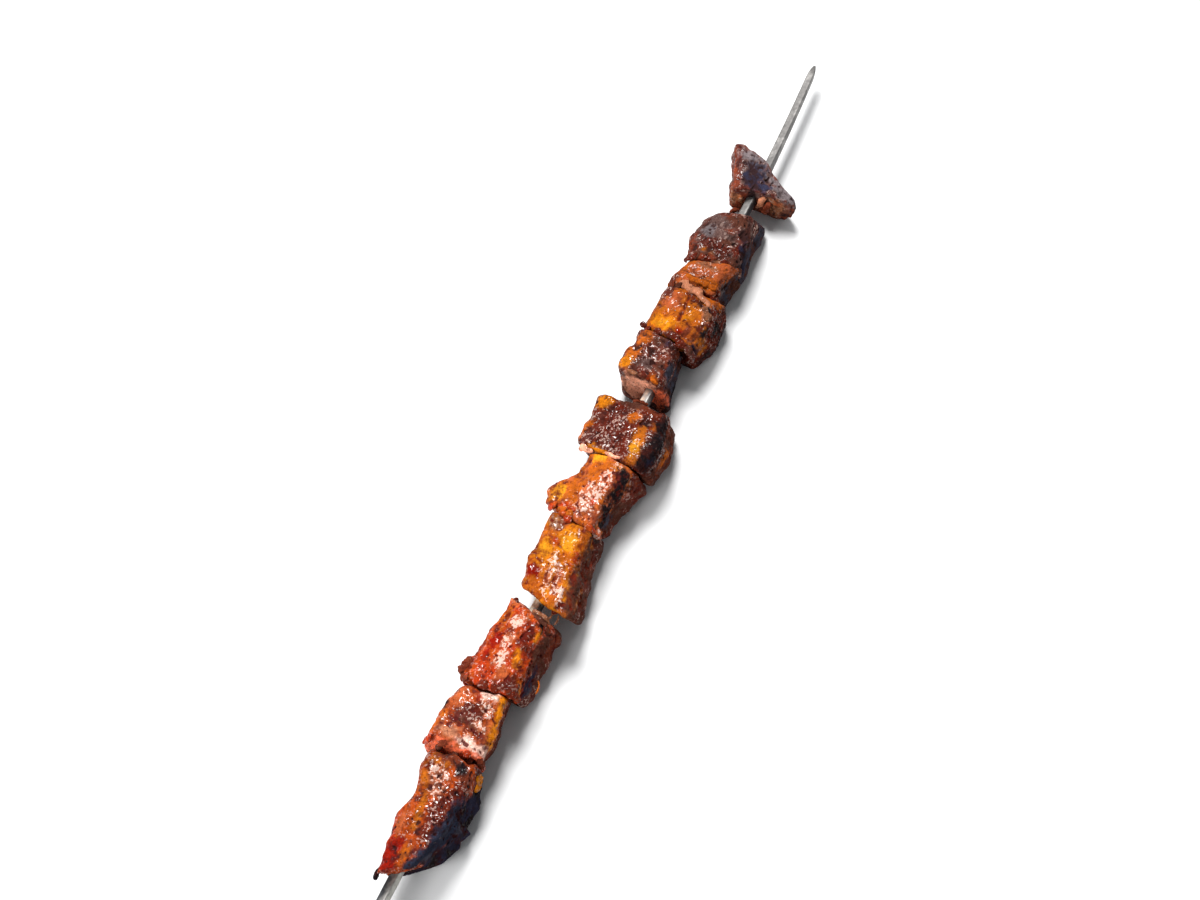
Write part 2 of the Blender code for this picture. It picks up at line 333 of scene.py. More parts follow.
# ---------------------------------------------------------------- piece 1, nearest the point
# A thin wedge of liver, seared dark, with ash on its far edge. The bar has pushed its middle out
# into a hollow with soft lobes round it.
TUNNEL_CLEARANCE = 0.3
CUT_SQUARENESS = 4.5
CUT_EDGE = 12.0
SWELLINGS = (1.2, 9.0)                # height and size of each kind of relief in the meat
CRAGS = (1.0, 4.5)
RIDGES = (0.35, 3.3)
CRUMBS = (0.28, 1.7)
GRAIN = (0.10, 0.85)
PITS = (0.80, 1.5)
END_RELIEF = 0.4
RIM_WIDTH = 1.8                       # of the seared rim round a cut
# This angle is also where the key light comes from: the side turned from it takes darker tones, partly
# char and partly painted shade.
LIT_SIDE = 60.0                    # degrees up from the left: the middle of the glazed side
PAINTED_GLINT = (0.74, 0.54, 0.46)
STRAND_DEPTH = 0.35                   # as the meat's: 0 on its crests and 1 in its pits
STRAND_RINGS = 44
STRAND_SECTORS = 28
OVERHANG_LOWEST = -9.0                # no lump hangs over a near cut below this height
SPACING = 0.40                        # between the points of a piece's surface
SECTORS = 256
TONES.update({
    "black": (0.012, 0.008, 0.009, 0.8, 0.6, 0.0),
    "navy": (0.026, 0.025, 0.046, 0.6, 0.75, 0.0),
    "slate": (0.060, 0.058, 0.078, 0.6, 0.9, 0.0),
    # The next tone is soot tinted blue as painted shade, for the side turned from the key light.
    "blue soot": (0.027, 0.031, 0.052, 0.7, 0.85, 0.0),
    "ash": (0.155, 0.125, 0.128, 0.8, 0.95, 0.0),
    "grey brown": (0.105, 0.058, 0.050, 1.0, 0.6, 0.05),
    "purple": (0.115, 0.029, 0.020, 1.0, 0.3, 0.15),
    "maroon": (0.125, 0.015, 0.006, 1.0, 0.15, 0.1),
    "brown": (0.095, 0.032, 0.020, 0.8, 0.6, 0.0),
    "tan": (0.25, 0.095, 0.045, 0.8, 0.4, 0.1),
    "red brown": (0.17, 0.034, 0.015, 0.8, 0.45, 0.0),
    "deep red": (0.24, 0.009, 0.003, 0.6, 0.05, 0.0),
    "red": (0.40, 0.036, 0.006, 0.8, 0.1, 0.1),
    "red orange": (0.40, 0.058, 0.007, 0.8, 0.15, 0.1),
    "orange": (0.45, 0.098, 0.009, 0.7, 0.38, 0.0),
    "amber": (0.42, 0.105, 0.008, 0.6, 0.38, 0.0),
    "gold": (0.60, 0.175, 0.006, 0.5, 0.38, 0.0),
    "yellow": (0.70, 0.26, 0.012, 0.35, 0.38, 0.0),
    "salmon": (0.44, 0.095, 0.028, 0.5, 0.25, 0.0),
    "pink": (0.50, 0.19, 0.10, 0.4, 0.3, 0.0),
    "cut pink": (0.46, 0.155, 0.090, 0.12, 0.45, 0.0),
    # This pale cut tone is the meat's own colour, brightened further as painted light on the near cuts.
    "pale cut": (1.0, 0.43, 0.27, 0.1, 0.4, 0.0),
    # The next tone is reddish glaze that the finish whitens with painted glints, and the one after it is
    # a pale painted sheen.
    "white glaze": (0.42, 0.12, 0.055, 1.0, 0.0, 1.0),
    "set glaze": (0.74, 0.46, 0.36, 0.8, 0.0, 0.8),
    # This red cut tone is likewise brightened past the meat's own colour as painted light.
    "cut red": (0.92, 0.17, 0.072, 0.15, 0.35, 0.0),
    "glaze": (0.42, 0.085, 0.030, 1.0, 0.0, 0.9),
    "glazed gold": (0.50, 0.15, 0.015, 0.9, 0.0, 0.7),
    "seared edge": (0.085, 0.014, 0.008, 1.0, 0.25, 0.05),
    "glazed crust": (0.115, 0.017, 0.009, 1.0, 0.0, 0.14),
})


def cut_place(cut, side, height, seed):
    """X of an end cut: its place, plus slant times side and lean times height, less its bow, plus
    waves. Two cuts that are pressed together share their seed, and so their waves."""
    place, slant, lean, bow = cut
    spot = np.stack(np.broadcast_arrays(0.0 * side, side, height), axis=-1)
    waves = 1.1 * relief(spot, 7.0, seed) + 0.5 * relief(spot, 2.6, seed + 1)
    return place + slant * side + lean * height - bow * (side / 20.0) ** 2 + waves


def liver_surface(far, near, ends, top, under, sections, knobs, folds, hollows, tones, marks, seed):
    """Points, tones and depths of a chunk, as rings by sectors.

    The rings step along the edge of a rounded square whose sides are the far cut, the outside and
    the near cut. The outside is (across / half-width)^n + (up / half-height)^n = 1 in the block's
    own directions, plus knobs, swellings and crags. Over that lie folds, ridges, crumbs and pits,
    which move the sides outwards and the end cuts inwards. ends says how free the far and the near
    cut are, from 0 where they are pressed on a neighbour to 1. tones are two for the basted side,
    which faces the key light, and two for the seared side turned from it, mixed in patches; the
    seared tones are darker, partly char and partly painted shade.

    sections are (half-width left, half-width right, turn in degrees) at even steps from the far
    cut to the near one. A knob is (place from far 0 to near 1, degrees up from the left, height,
    width), a fold is (start, end, width, depth) and a hollow is (cut, left, up, width, depth).
    """
    length = far[0] - near[0]
    ring_count = 2 * round((length + 22.0) / SPACING / 2.0) + 1
    turn = np.linspace(np.pi, 0.0, ring_count)[:, None]
    size = (np.abs(np.cos(turn)) ** CUT_EDGE + np.abs(np.sin(turn)) ** CUT_EDGE) ** (1.0 / CUT_EDGE)
    along, out = 0.5 + 0.5 * np.cos(turn) / size, np.abs(np.sin(turn)) / size
    out[[0, -1]] = 0.0
    free = ends[0] + (ends[1] - ends[0]) * smooth(along, 0.4, 0.6)
    sideways = out ** (CUT_EDGE - 1.0)
    endways = np.abs(np.cos(turn) / size) ** (CUT_EDGE - 1.0)
    sideways, endways = (part / np.hypot(sideways, endways) for part in (sideways, endways))

    sector = np.arange(SECTORS)[None, :] * 2.0 * np.pi / SECTORS + np.pi / 4.0
    angle = sector - np.radians(BAR_ROLL)
    side, up = np.cos(angle), np.sin(angle)
    stations = np.linspace(0.0, 1.0, len(sections))
    left, right, roll = (np.interp(along, stations, values) for values in zip(*sections))
    across, upward = np.cos(angle + np.radians(roll)), np.sin(angle + np.radians(roll))
    outside = (np.abs(across / np.where(across > 0.0, left, right)) ** CUT_SQUARENESS
               + np.abs(upward / np.where(upward > 0.0, top, under)) ** CUT_SQUARENESS
               ) ** (-1.0 / CUT_SQUARENESS)
    for place, direction, height, spread in knobs:
        apart = np.angle(np.exp(1j * (angle - np.radians(direction)))) * outside
        outside = outside + height * np.exp(-(np.hypot((along - place) * length, apart) / spread) ** 2)

    tunnel = (BAR_HALF + TUNNEL_CLEARANCE) / np.maximum(np.abs(np.cos(sector)), np.abs(np.sin(sector)))
    radius = tunnel + (outside - tunnel) * out
    rough = np.stack(np.broadcast_arrays(along * length, side * radius, up * radius), axis=-1)
    crags = relief(rough, CRAGS[1], seed + 1)
    radius = radius + (SWELLINGS[0] * relief(rough, SWELLINGS[1], seed) + CRAGS[0] * crags) * out
    lowest = np.where(up < -0.05, BAR_HEIGHT / np.maximum(-up, 0.05), np.inf)
    radius = np.minimum(radius, lowest)
    dent = free * END_RELIEF * (0.5 + 0.5 * relief(rough, CRAGS[1], seed + 2))

    def placed(radius, dent):
        y, z = side * radius, up * radius
        far_x = cut_place(far, y, z, seed - 50) - dent + 0.1 * (1.0 - ends[0])
        near_x = cut_place(near, y, z, seed + 50) + dent - 0.1 * (1.0 - ends[1])
        return np.stack([far_x + (near_x - far_x) * along, y, z], axis=-1)

    smooth_points = placed(radius, dent)
    # The side turned from the key light takes the darker seared tones: partly char, partly painted shade.
    facing = np.cos(angle - np.radians(LIT_SIDE)) + 0.18 * relief(smooth_points, 5.0, seed + 3)
    seared = smooth(-facing, -0.12, 0.16)[..., None]
    turned = smooth_points @ GRAIN_TURN
    mix = relief(turned, 4.2, seed + 4) + 0.6 * relief(turned, 1.7, seed + 5)
    mix = smooth(mix, -0.45, 0.45)[..., None]
    basted_a, basted_b, shaded_char_a, shaded_char_b = (np.array(TONES[tone]) for tone in tones)
    layer = ((basted_a * (1.0 - mix) + basted_b * mix) * (1.0 - seared)
             + (shaded_char_a * (1.0 - mix) + shaded_char_b * mix) * seared)
    from_edge = np.minimum(along, 1.0 - along) * length + (1.0 - out) * outside
    corner = np.abs(across) * np.where(upward > 0.0, top, under)
    corner = corner / (corner + np.abs(upward) * np.where(across > 0.0, left, right))
    rim = (0.2 + 0.8 * free) * np.exp(-(from_edge / RIM_WIDTH) ** 2)
    rim = rim + 0.7 * smooth(-np.abs(corner - 0.5), -0.12, 0.0) + 0.5 * relief(turned, 2.7, seed + 10)
    rim = smooth(rim, 0.25, 1.0)[..., None] * 0.8
    layer = layer * (1.0 - rim) + np.array(TONES["seared edge"]) * rim
    layer = painted(smooth_points, layer, marks, seed)
    layer[..., DRY] = np.maximum(layer[..., DRY], 0.6 * seared[..., 0])

    ridges = 1.0 - 2.0 * np.abs(relief(turned, RIDGES[1], seed + 6))
    crumbs = relief(turned, CRUMBS[1], seed + 7)
    grain = relief(turned, GRAIN[1], seed + 8)
    pits = smooth(relief(turned, PITS[1], seed + 9), 0.42, 0.75)
    craggy = layer[..., CRAGGY]
    fine = craggy * (RIDGES[0] * ridges + CRUMBS[0] * crumbs + GRAIN[0] * grain - PITS[0] * pits)
    carved = np.zeros_like(fine)
    for start, end, width, depth in folds:
        carved -= depth * np.exp(-(stroke_distance(smooth_points, start, end) / width) ** 2)
    inwards = endways * np.clip(0.2 - fine, 0.0, 1.4) * smooth(out, 1.02, 0.75) * (0.15 + 0.85 * free)
    for end, at_side, at_height, width, depth in hollows:
        near_end = along > 0.5 if end == "near" else along < 0.5
        apart = np.hypot(side * radius - at_side, up * radius - at_height)
        inwards = inwards + endways * near_end * depth * np.exp(-(apart / width) ** 2)
    radius = np.clip(radius + (fine + carved) * sideways * out, tunnel, lowest)
    inwards = inwards / np.maximum(0.25, np.abs(1.0 - 2.0 * along))
    points = placed(radius, dent + inwards)
    # The finish darkens the pits, where this depth is high, as painted shade.
    depth = np.clip(0.42 - 0.65 * fine - 0.35 * carved - 0.22 * crags - 0.10 * grain, 0.0, 1.0)
    return points, layer, depth


def liver_finish(name, pores_and_pit_shade, speck, specks, wetness, light):
    """Glazed meat. The painted skin is varied in brightness round light, goes to a dark colour in random
    pores and, as painted shade, in its pits, and has small specks and pale dots of painted glint on its
    glazed tones; wet tones are glossy and dry ones matt."""
    meat = Finish(name)
    # Bright and dull patches, then dark pores at random and painted shade in the pits, then specks.
    broad = meat.noise(260.0, 3.0)
    middle = meat.noise(700.0, 3.0, 0.6)
    fine = meat.noise(1500.0, 3.0, 0.6)
    shades = meat.combined("MULTIPLY", meat.ramp(broad, 0.3, 0.7, 0.72 * light, 1.22 * light),
                           meat.ramp(fine, 0.3, 0.7, 0.70, 1.28))
    colour = meat.brightened(meat.attribute("skin"), shades)
    colour = meat.over(colour, pores_and_pit_shade, meat.ramp(meat.deep, 0.40, 0.70, 0.0, 0.95))
    colour = meat.over(colour, pores_and_pit_shade, meat.ramp(middle, 0.43, 0.33, 0.0, 0.7))
    colour = meat.over(colour, speck, meat.ramp(middle, 0.64, 0.74, 0.0, 0.35 * specks))
    # Painted glints: pale dots on the crests of the glazed tones, standing for highlights on the glaze.
    glint_crest = meat.combined("SUBTRACT", meat.noise(850.0, 2.0), meat.combined("MULTIPLY", meat.deep, 0.4))
    glint_crest = meat.combined("ADD", glint_crest, meat.combined("MULTIPLY", meat.glazed, 0.12))
    pale = meat.combined("MULTIPLY", meat.ramp(glint_crest, 0.47, 0.53, 0.0, 0.68),
                         meat.ramp(meat.glazed, 0.0, 0.25))
    meat.shade("Base Color", meat.over(colour, PAINTED_GLINT, pale))
    # The meat itself scatters light, and a wet film lies on it in small, smoother patches.
    meat.shade("Roughness", meat.combined("ADD", meat.ramp(meat.dry, 0.0, 1.0, 0.42, 0.85),
                                          meat.ramp(broad, 0.3, 0.7, -0.06, 0.10)))
    meat.shade("Specular IOR Level", 0.0)
    wet = meat.ramp(meat.noise(1000.0, 1.0), 0.54, 0.60, 0.05, 1.0)
    meat.shade("Coat Weight", meat.combined("MULTIPLY", meat.ramp(meat.dry, 0.2, 0.7, wetness, 0.0), wet))
    meat.shade("Coat Roughness", 0.10)
    meat.shade("Coat IOR", 1.5)
    meat.shade("Coat Normal", meat.bumps(meat.noise(440.0, 0.0), 0.8, 0.00035))
    # The grain of the meat, strongest where the crust is craggy.
    grain = meat.combined("ADD", meat.noise(430.0, 1.0),
                          meat.combined("MULTIPLY", meat.noise(1250.0, 1.0), 0.7))
    craggy = meat.ramp(meat.attribute("state", "Alpha"), 0.3, 1.0, 0.15, 1.4)
    meat.shade("Normal", meat.bumps(meat.combined("MULTIPLY", grain, craggy), 0.9, 0.0006))
    return meat.material


def strand_surface(path, wide, thick, seed):
    """Rings round a curve through the points of path: c + wide * cos(a) * beside + thick * sin(a) *
    outwards, where outwards points away from the bar, shrunk to nothing at both ends."""
    path = np.array(path, float)
    knots = np.linspace(0.0, 1.0, len(path))
    bend = np.polyfit(knots, path, min(len(path) - 1, 3))
    t = 0.5 - 0.5 * np.cos(np.linspace(0.02, 0.98, STRAND_RINGS) * np.pi)
    centre = np.stack([np.polyval(bend[:, axis], t) for axis in range(3)], axis=1)
    tangent = np.gradient(centre, axis=0)
    tangent /= np.linalg.norm(tangent, axis=1)[:, None]
    outwards = centre * (0.0, 1.0, 1.0)
    outwards -= (outwards * tangent).sum(1)[:, None] * tangent
    outwards /= np.linalg.norm(outwards, axis=1)[:, None]
    beside = np.cross(outwards, tangent)
    angle = np.arange(STRAND_SECTORS) * 2.0 * np.pi / STRAND_SECTORS
    size = np.sqrt(np.clip(1.0 - (2.0 * t - 1.0) ** 4, 0.0, 1.0))[:, None, None]
    points = centre[:, None] + size * (wide * np.cos(angle)[None, :, None] * beside[:, None]
                                       + thick * np.sin(angle)[None, :, None] * outwards[:, None])
    lumps = 0.55 * relief(points, 2.3, seed) + 0.25 * relief(points, 0.9, seed + 1)
    return points + (points - centre[:, None]) * lumps[..., None]


def overhanging(points, length, count, tones, seed):
    """Strands for the lumps that hang over the near cut: each starts 1 to 3 mm inside the edge, at
    random round the upper side, and runs 2 to 4 mm past it, a little below the surface."""
    random = np.random.default_rng(seed)
    rings, sectors = points.shape[:2]
    lumps = []
    for number in range(count):
        inside, reach = random.uniform(0.8, 3.0), random.uniform(2.2, 4.2)
        turn = math.atan2(1.0, 1.0 - 2.0 * inside / length)
        place = points[round((1.0 - turn / math.pi) * (rings - 1)),
                       round(random.uniform(-0.02, 0.42) * sectors) % sectors]
        outwards = place * (0.0, 1.0, 1.0) / np.linalg.norm(place[1:])
        skew = np.array((0.0, -outwards[2], outwards[1])) * random.uniform(-1.5, 1.5)
        if place[2] > OVERHANG_LOWEST:
            path = (place - 0.5 * outwards, place - (0.5 * reach, 0.0, 0.0) + 0.1 * outwards + 0.5 * skew,
                    place - (reach, 0.0, 0.0) - 1.0 * outwards + skew)
            lumps.append((tones[number % len(tones)], path,
                          random.uniform(1.3, 3.2), random.uniform(0.6, 1.0)))
    return lumps


def liver_piece(name, material, node, slot, strands=(), overhang=(), **shape):
    """Makes a chunk's mesh and its strands, dresses them and puts them in place of its plain solid.

    A strand is (tone, path, half-width, half-thickness), in mm from the bar's axis. overhang is the
    tones of the lumps that hang over the near cut.
    """
    points, layer, depth = liver_surface(**shape)
    pieces = [wrapped_mesh(name, points, True, layer, depth)]
    strands = list(strands) + overhanging(points, shape["far"][0] - shape["near"][0], 3 * len(overhang),
                                          overhang, shape["seed"] + 70)
    if strands:
        tubes = np.stack([strand_surface(path, wide, thick, shape["seed"] + 30 + number)
                          for number, (tone, path, wide, thick) in enumerate(strands)])
        mix = smooth(relief(tubes, 1.6, shape["seed"] + 60), 0.0, 0.7)[..., None] * 0.4
        tones = np.array([TONES[strand[0]] for strand in strands])[:, None, None]
        layer = tones * (1.0 - mix) + np.array(TONES["seared edge"]) * mix
        pieces.append(wrapped_mesh(name + "_strands", tubes, False, layer, STRAND_DEPTH))
    for piece in pieces:
        piece.data.materials.append(material)
        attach(piece, "root")
        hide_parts(node)


liver_piece(
    "tip_wedge",
    liver_finish("ashy_liver", (0.025, 0.012, 0.012), (0.30, 0.20, 0.18), 0.45, 0.9, 1.0),
    "liver_piece_01", "charred_liver", seed=100,
    far=(198, 0.46, 0, 2.7), near=(178.4, -0.28, 0.05, 1.5), ends=(1, 1), top=9, under=8,
    sections=((21, 21.5, -9), (13.5, 21.5, -11), (10.6, 20, -8)),
    knobs=((0.2, 80, 1.5, 5),),
    folds=(((192, 6, 9), (183, 3, 8), 3, 0.9), ((190, 12, 9), (181, 9, 7), 1.6, -0.6)),
    hollows=(("near", 0, 0.5, 3.6, 3.2), ("near", -9, -3, 2.6, 1.4)),
    tones=("purple", "grey brown", "brown", "red brown"),
    marks=(
        ("ash", (197, 8, 10), (2.6, 9.5)), ("ash", (190, -8, 8), (2.2, 5)),
        ("ash", (186, -15, 5), (4.6, 7)), ("slate", (193, 3, 9), (2.5, 7)),
        ("navy", (187, 3, 9), (5.4, 5)), ("navy", (184, -3, 8), (3, 4.5)),
        ("red brown", (199, 16, 7), (180, 8, 7.5), 1.7), ("red brown", (180, 10, 5), (3.9, 2.4)),
        ("red brown", (179, 3, 4), (3.5, 2)), ("red brown", (177, 8, 0), (5, 6)),
        ("tan", (178, -12, 0), (6, 7)),
        ("salmon", (178, -13, 3), (4, 2.4)), ("pink", (177.5, 7, 2), (3, 2.4)),
        ("tan", (176, 9, 3), (3.4, 2.4)), ("orange", (177, 5, 2), (1.8, 1.2)),
        # The two black spots round the bar on the near cut are painted shade in the hollow between its
        # lobes.
        ("brown", (180, -18, -2), (3.4, 2.6)), ("black", (178, -7.5, 3), (4, 1.6)),
        ("black", (178, 0, 3), (4, 2.6)),
    ),
    strands=(
        ("pink", ((181.5, -6.6, 5.5), (179.8, -5.2, 1.5), (179.6, -3.4, -3.5)), 1.2, 1.4),
        ("red brown", ((180.4, -9.5, 4), (178.8, -8.8, 0), (178.6, -7.2, -4.5)), 1.3, 1.5),
        ("tan", ((179.4, 5.6, 4.5), (178, 5.4, 0.5), (178.4, 4.6, -3.5)), 1.3, 1.5),
    ),
)

# ---------------------------------------------------------------- piece 2
# A block with a grey-brown cap of dry crust, a dark red glazed belt and a folded flank, dark with soot
# and painted shade. It is pushed along the bar until it presses on the slice below it.
liver_piece(
    "capped_block",
    liver_finish("capped_liver", (0.03, 0.012, 0.010), (0.34, 0.17, 0.13), 0.3, 0.6, 0.78),
    "liver_piece_02", "charred_liver", seed=200,
    overhang=("brown", "red brown", "glazed crust", "maroon", "brown", "tan"),
    far=(167, -0.24, -0.42, 0), near=(134, -0.16, -0.17, 0), ends=(1, 0.15), top=11.5, under=13.5,
    sections=((14.5, 10.5, 12), (16.5, 11.5, 6), (12, 13.5, 4)),
    knobs=((0.2, 85, 1.5, 5), (0.05, 22, -2.5, 7)),
    folds=(((152, -7, 12), (138, -13, 4), 1.6, 1.3), ((139, 5, 11), (138, -9, 10), 1.6, 0.5)),
    hollows=(),
    tones=("grey brown", "purple", "slate", "brown"),
    marks=(
        ("grey brown", (151, 6, 11), (8, 8)), ("ash", (148, 9, 11), (3.5, 3.5)),
        ("brown", (157, -2, 12), (4, 5)), ("red brown", (150, -1, 13), (1.8, 2)),
        ("red brown", (160, 3, 10), (1.8, 2.6)), ("purple", (160, -10, 5), (5, 4)),
        ("seared edge", (139, 1, 11), (4.5, 8)), ("brown", (143, -2, 12), (1.6, 3)),
        ("maroon", (141, -8, 10), (4, 2.4)), ("tan", (136, 2, 10), (1.8, 1.8)),
        ("brown", (135.5, -6, 8), (3.2, 4.2)), ("tan", (134, -4, 7), (1.6, 1.6)),
        ("amber", (135.5, 7, 10), (1.6, 1.6)), ("red brown", (139, 14, 8), (5, 2.4)),
        ("maroon", (136, 11, 9), (2.5, 1.5)), ("navy", (152, -7, 12), (142, -11, 8), 2),
        ("navy", (143, -12, 5), (134, -13, -1), 2.8), ("slate", (150, -10, 9), (142, -13, 4), 1.2),
    ),
    strands=(("red brown", ((163.5, 4.5, 8.5), (167, 3.6, 6), (169.5, 2.4, 3.4)), 1.4, 1.1),),
)

# ---------------------------------------------------------------- piece 3
# A narrow slice pressed against the last, salmon and orange, with a pale cut edge that curls up
# over the next piece.
liver_piece(
    "curled_slice",
    liver_finish("salmon_liver", (0.05, 0.014, 0.008), (0.62, 0.33, 0.22), 0.3, 0.45, 0.68),
    "liver_piece_03", "golden_liver", seed=300,
    overhang=("red brown", "maroon", "brown"),
    far=(133.7, -0.16, -0.17, 0), near=(114.9, -0.04, -0.27, 0), ends=(0.1, 0.6), top=11.5, under=13,
    sections=((11, 12.5, 4), (13.5, 10, 4), (15, 9, 7)),
    knobs=(),
    folds=(((117, 7, 11), (116, -7, 10), 1.3, -0.7), ((120, 8, 12), (119, -6, 11), 1.2, 0.4)),
    hollows=(("near", -3, 6, 4.5, 1.6), ("near", 3, 8, 3, 0.8)),
    tones=("salmon", "orange", "brown", "slate"),
    marks=(
        ("tan", (127, 1, 12), (2.4, 6)), ("salmon", (123, 1, 12), (3.2, 7.5)),
        ("orange", (118.5, -2, 12), (3, 6.5)), ("salmon", (118, 8, 11), (3, 3.4)),
        ("ash", (122, -11, 5), (4.5, 3.2)), ("maroon", (117, -9, 8), (2.4, 2.4)),
        ("purple", (116, 13, 9), (3.4, 2.2)), ("brown", (121, 14, 6), (3, 2)),
        # The black stroke on the near cut is a painted shadow under the curled lip.
        ("maroon", (113.5, 3, 6), (3, 6)), ("black", (113, 3, 8), (114.5, -8, 6), 1.8),
    ),
    strands=(
        ("pink", ((115.4, 10.5, 9), (113, 5.5, 11.8), (110, -1.5, 13.6), (105.4, -9.2, 13.4)), 2.1, 0.9),
        ("orange", ((119.5, 10, 10), (117.6, 4.5, 12.6), (116.8, -2.5, 13.2), (118.4, -8.5, 10.4)),
         1.4, 0.8),
    ),
)

# ---------------------------------------------------------------- piece 4
# The golden block: amber on top, a thick golden belt at the near end, a narrow red cleft, and a
# burnt lobe that hangs over its right side.
liver_piece(
    "golden_block",
    liver_finish("golden_liver_skin", (0.07, 0.012, 0.006), (0.75, 0.42, 0.22), 0.3, 1.0, 0.72),
    "liver_piece_04", "golden_liver", seed=400,
    overhang=("brown", "maroon", "purple", "glazed crust", "maroon"),
    far=(114.6, -0.04, -0.27, 0), near=(84.1, 0.24, -0.15, 0), ends=(0.3, 0.6), top=12, under=13.5,
    sections=((15.5, 14.5, 6), (15, 15, 9), (15, 15, 13), (16.5, 10.5, 15)),
    knobs=((0.85, 160, 1.5, 5), (0.5, 118, -2.6, 3.5), (0.15, 60, 1, 4)),
    folds=(((107, 2.2, 11.5), (93, 1.4, 12.5), 0.8, 1.1), ((90.5, 2, 12), (89, 13, 7), 2.6, -0.7),
           ((107, -9, 12), (102, -15, 5), 1.4, -0.8), ((97, -9, 13), (89, -11, 11), 1.3, 1)),
    hollows=(("near", -6, 4, 3.5, 1.8),),
    tones=("amber", "orange", "maroon", "black"),
    marks=(
        ("salmon", (104, 8, 10), (5, 5)), ("purple", (109, 13, 8.5), (5, 4)),
        ("amber", (101, -3, 13), (6.5, 4)), ("gold", (97, -1, 13), (2.5, 2.5)),
        ("gold", (90, 7, 10), (4, 6.5)), ("yellow", (89.5, 8, 10), (2.2, 3.6)),
        ("deep red", (87, -1, 13), (2, 3)), ("red brown", (89, -5, 13), (3.6, 1.6)),
        ("maroon", (103, -12, 11), (88, -13, 2), 4.4), ("pink", (104, -8, 13), (99.5, -10.4, 12.4), 1.6),
        ("black", (101, -15, 5), (5.5, 3)), ("amber", (87.5, -14, 3.5), (4, 3.2)),
        ("red", (94, -15, 8), (2, 1.6)), ("black", (92.5, -12, 11.5), (3.6, 3.2)),
        ("navy", (83, -8, 6.5), (3.4, 4.2)), ("maroon", (84, -10, -2), (2.6, 4)),
        ("red", (107, 2.2, 11.5), (93, 1.4, 12.5), 0.6), ("brown", (101, 16, 2), (8, 3)),
        ("maroon", (84.5, 3, 12), (84.5, 14, 6), 0.6),
        # These maroon and black strokes along the far edge are painted shadow under the lip that curls
        # over from piece 3.
        ("maroon", (109.5, 3, 12.4), (106, -3.5, 13), 1.3),
        ("black", (106.5, -2, 13), (103.4, -10, 12.6), 1.5),
    ),
    strands=(
        ("seared edge", ((87.5, 14, 6), (87.2, 16.5, 6.8), (87.6, 18.2, 7)), 1.2, 1),
        ("tan", ((104.8, -6.6, 12.6), (102, -9.2, 12.5), (98.5, -11.2, 11.6)), 1.9, 1.2),
    ),
)

# ---------------------------------------------------------------- piece 5
# A block with purple-brown crust, golden lobes on its left and, at its near end, the smooth pale
# cut of the meat above the bare bar, brightened as painted light.
liver_piece(
    "pale_cut_block",
    liver_finish("crusted_liver", (0.03, 0.010, 0.008), (0.52, 0.30, 0.24), 0.2, 1.0, 0.82),
    "liver_piece_05", "charred_liver", seed=500,
    far=(83.8, 0.24, -0.15, 0), near=(57.4, 0.05, 0.05, 0), ends=(0.7, 1), top=11.5, under=13,
    sections=((16, 5.5, 2), (17.5, 6.5, 7), (16, 8.5, 14)),
    knobs=((0.75, 20, 1.2, 5), (0.35, 14, -2.6, 3.2)),
    folds=(((68, 3, 11), (66, -2, 11), 1, 0.6), ((73, 6, 11), (73, 6.2, 11), 1.2, 1.6)),
    hollows=(("near", 0, 1, 3.2, 1.4),),
    tones=("purple", "red brown", "slate", "brown"),
    marks=(
        ("orange", (79, 12, 10), (4.5, 3.6)), ("brown", (79, 4, 11), (4, 3.6)),
        ("navy", (80, 0, 11), (2.4, 1.6)), ("purple", (70, 5, 11), (6.5, 4.5)),
        ("grey brown", (64, 6, 11), (4, 4)), ("glazed crust", (60.5, 6, 10), (2.2, 4)),
        ("orange", (69, 14, 9), (4, 3.4)), ("gold", (64, 15, 8), (3.2, 3.2)),
        ("black", (73, 6, 11), (1, 1)), ("orange", (60, -1, 10), (2.2, 2.8)),
        ("red", (60, 1.5, 10), (1.6, 1.2)), ("brown", (66, -1, 11), (4, 1.4)),
        ("slate", (66, -6, 8), (6.5, 3.4)), ("black", (68, -8, -8), (7, 2.4)),
        ("pale cut", (57, 7, 0), (4.5, 9.5)), ("cut pink", (57, 1, -4), (4, 6)),
        ("cut red", (57, -6, -2), (4.5, 6.5)), ("seared edge", (59.6, 15, 6), (58.8, 3, 10.5), 0.7),
        ("red brown", (57, 15, -5), (57, 5, -12), 1.4), ("black", (57, -9, -7), (3, 2.4)),
    ),
    strands=(
        ("tan", ((60.5, 12.5, 8.5), (59.5, 10.5, 9.6), (59.3, 7, 10.6)), 1, 0.8),
        ("orange", ((61, 0.5, 10.6), (59.6, -1.5, 10.4), (59.6, -3.4, 9.2)), 1.5, 1.2),
    ),
)
